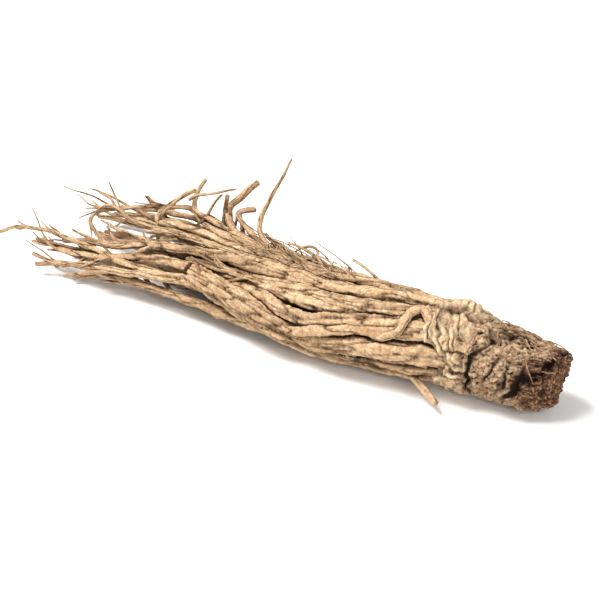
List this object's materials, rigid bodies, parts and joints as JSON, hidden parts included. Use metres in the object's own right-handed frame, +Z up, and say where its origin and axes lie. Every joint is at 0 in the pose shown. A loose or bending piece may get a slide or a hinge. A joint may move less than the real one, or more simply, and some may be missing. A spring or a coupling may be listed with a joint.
{
  "type": "dried angelica root",
  "caption": "Whole dried angelica root: a knobbly crown and tapering tap root wrapped in a bundle of long branch roots that fan out to thin tips. It lies on its side.",
  "frame": {"origin": "centre of the whole root's box in x and y, on the surface it lies on", "axes": "+X along the root and out of its crown, with the branch tips at -X; +Z up"},
  "size_m": [0.243, 0.0614, 0.0541],
  "materials": {
    "dried_bark": "dry wrinkled bark, matt, tan ridges with dark brown creases"
  },
  "bodies": {
    "root": {"angelica_root": "dried_bark"}
  },
  "joints": []
}
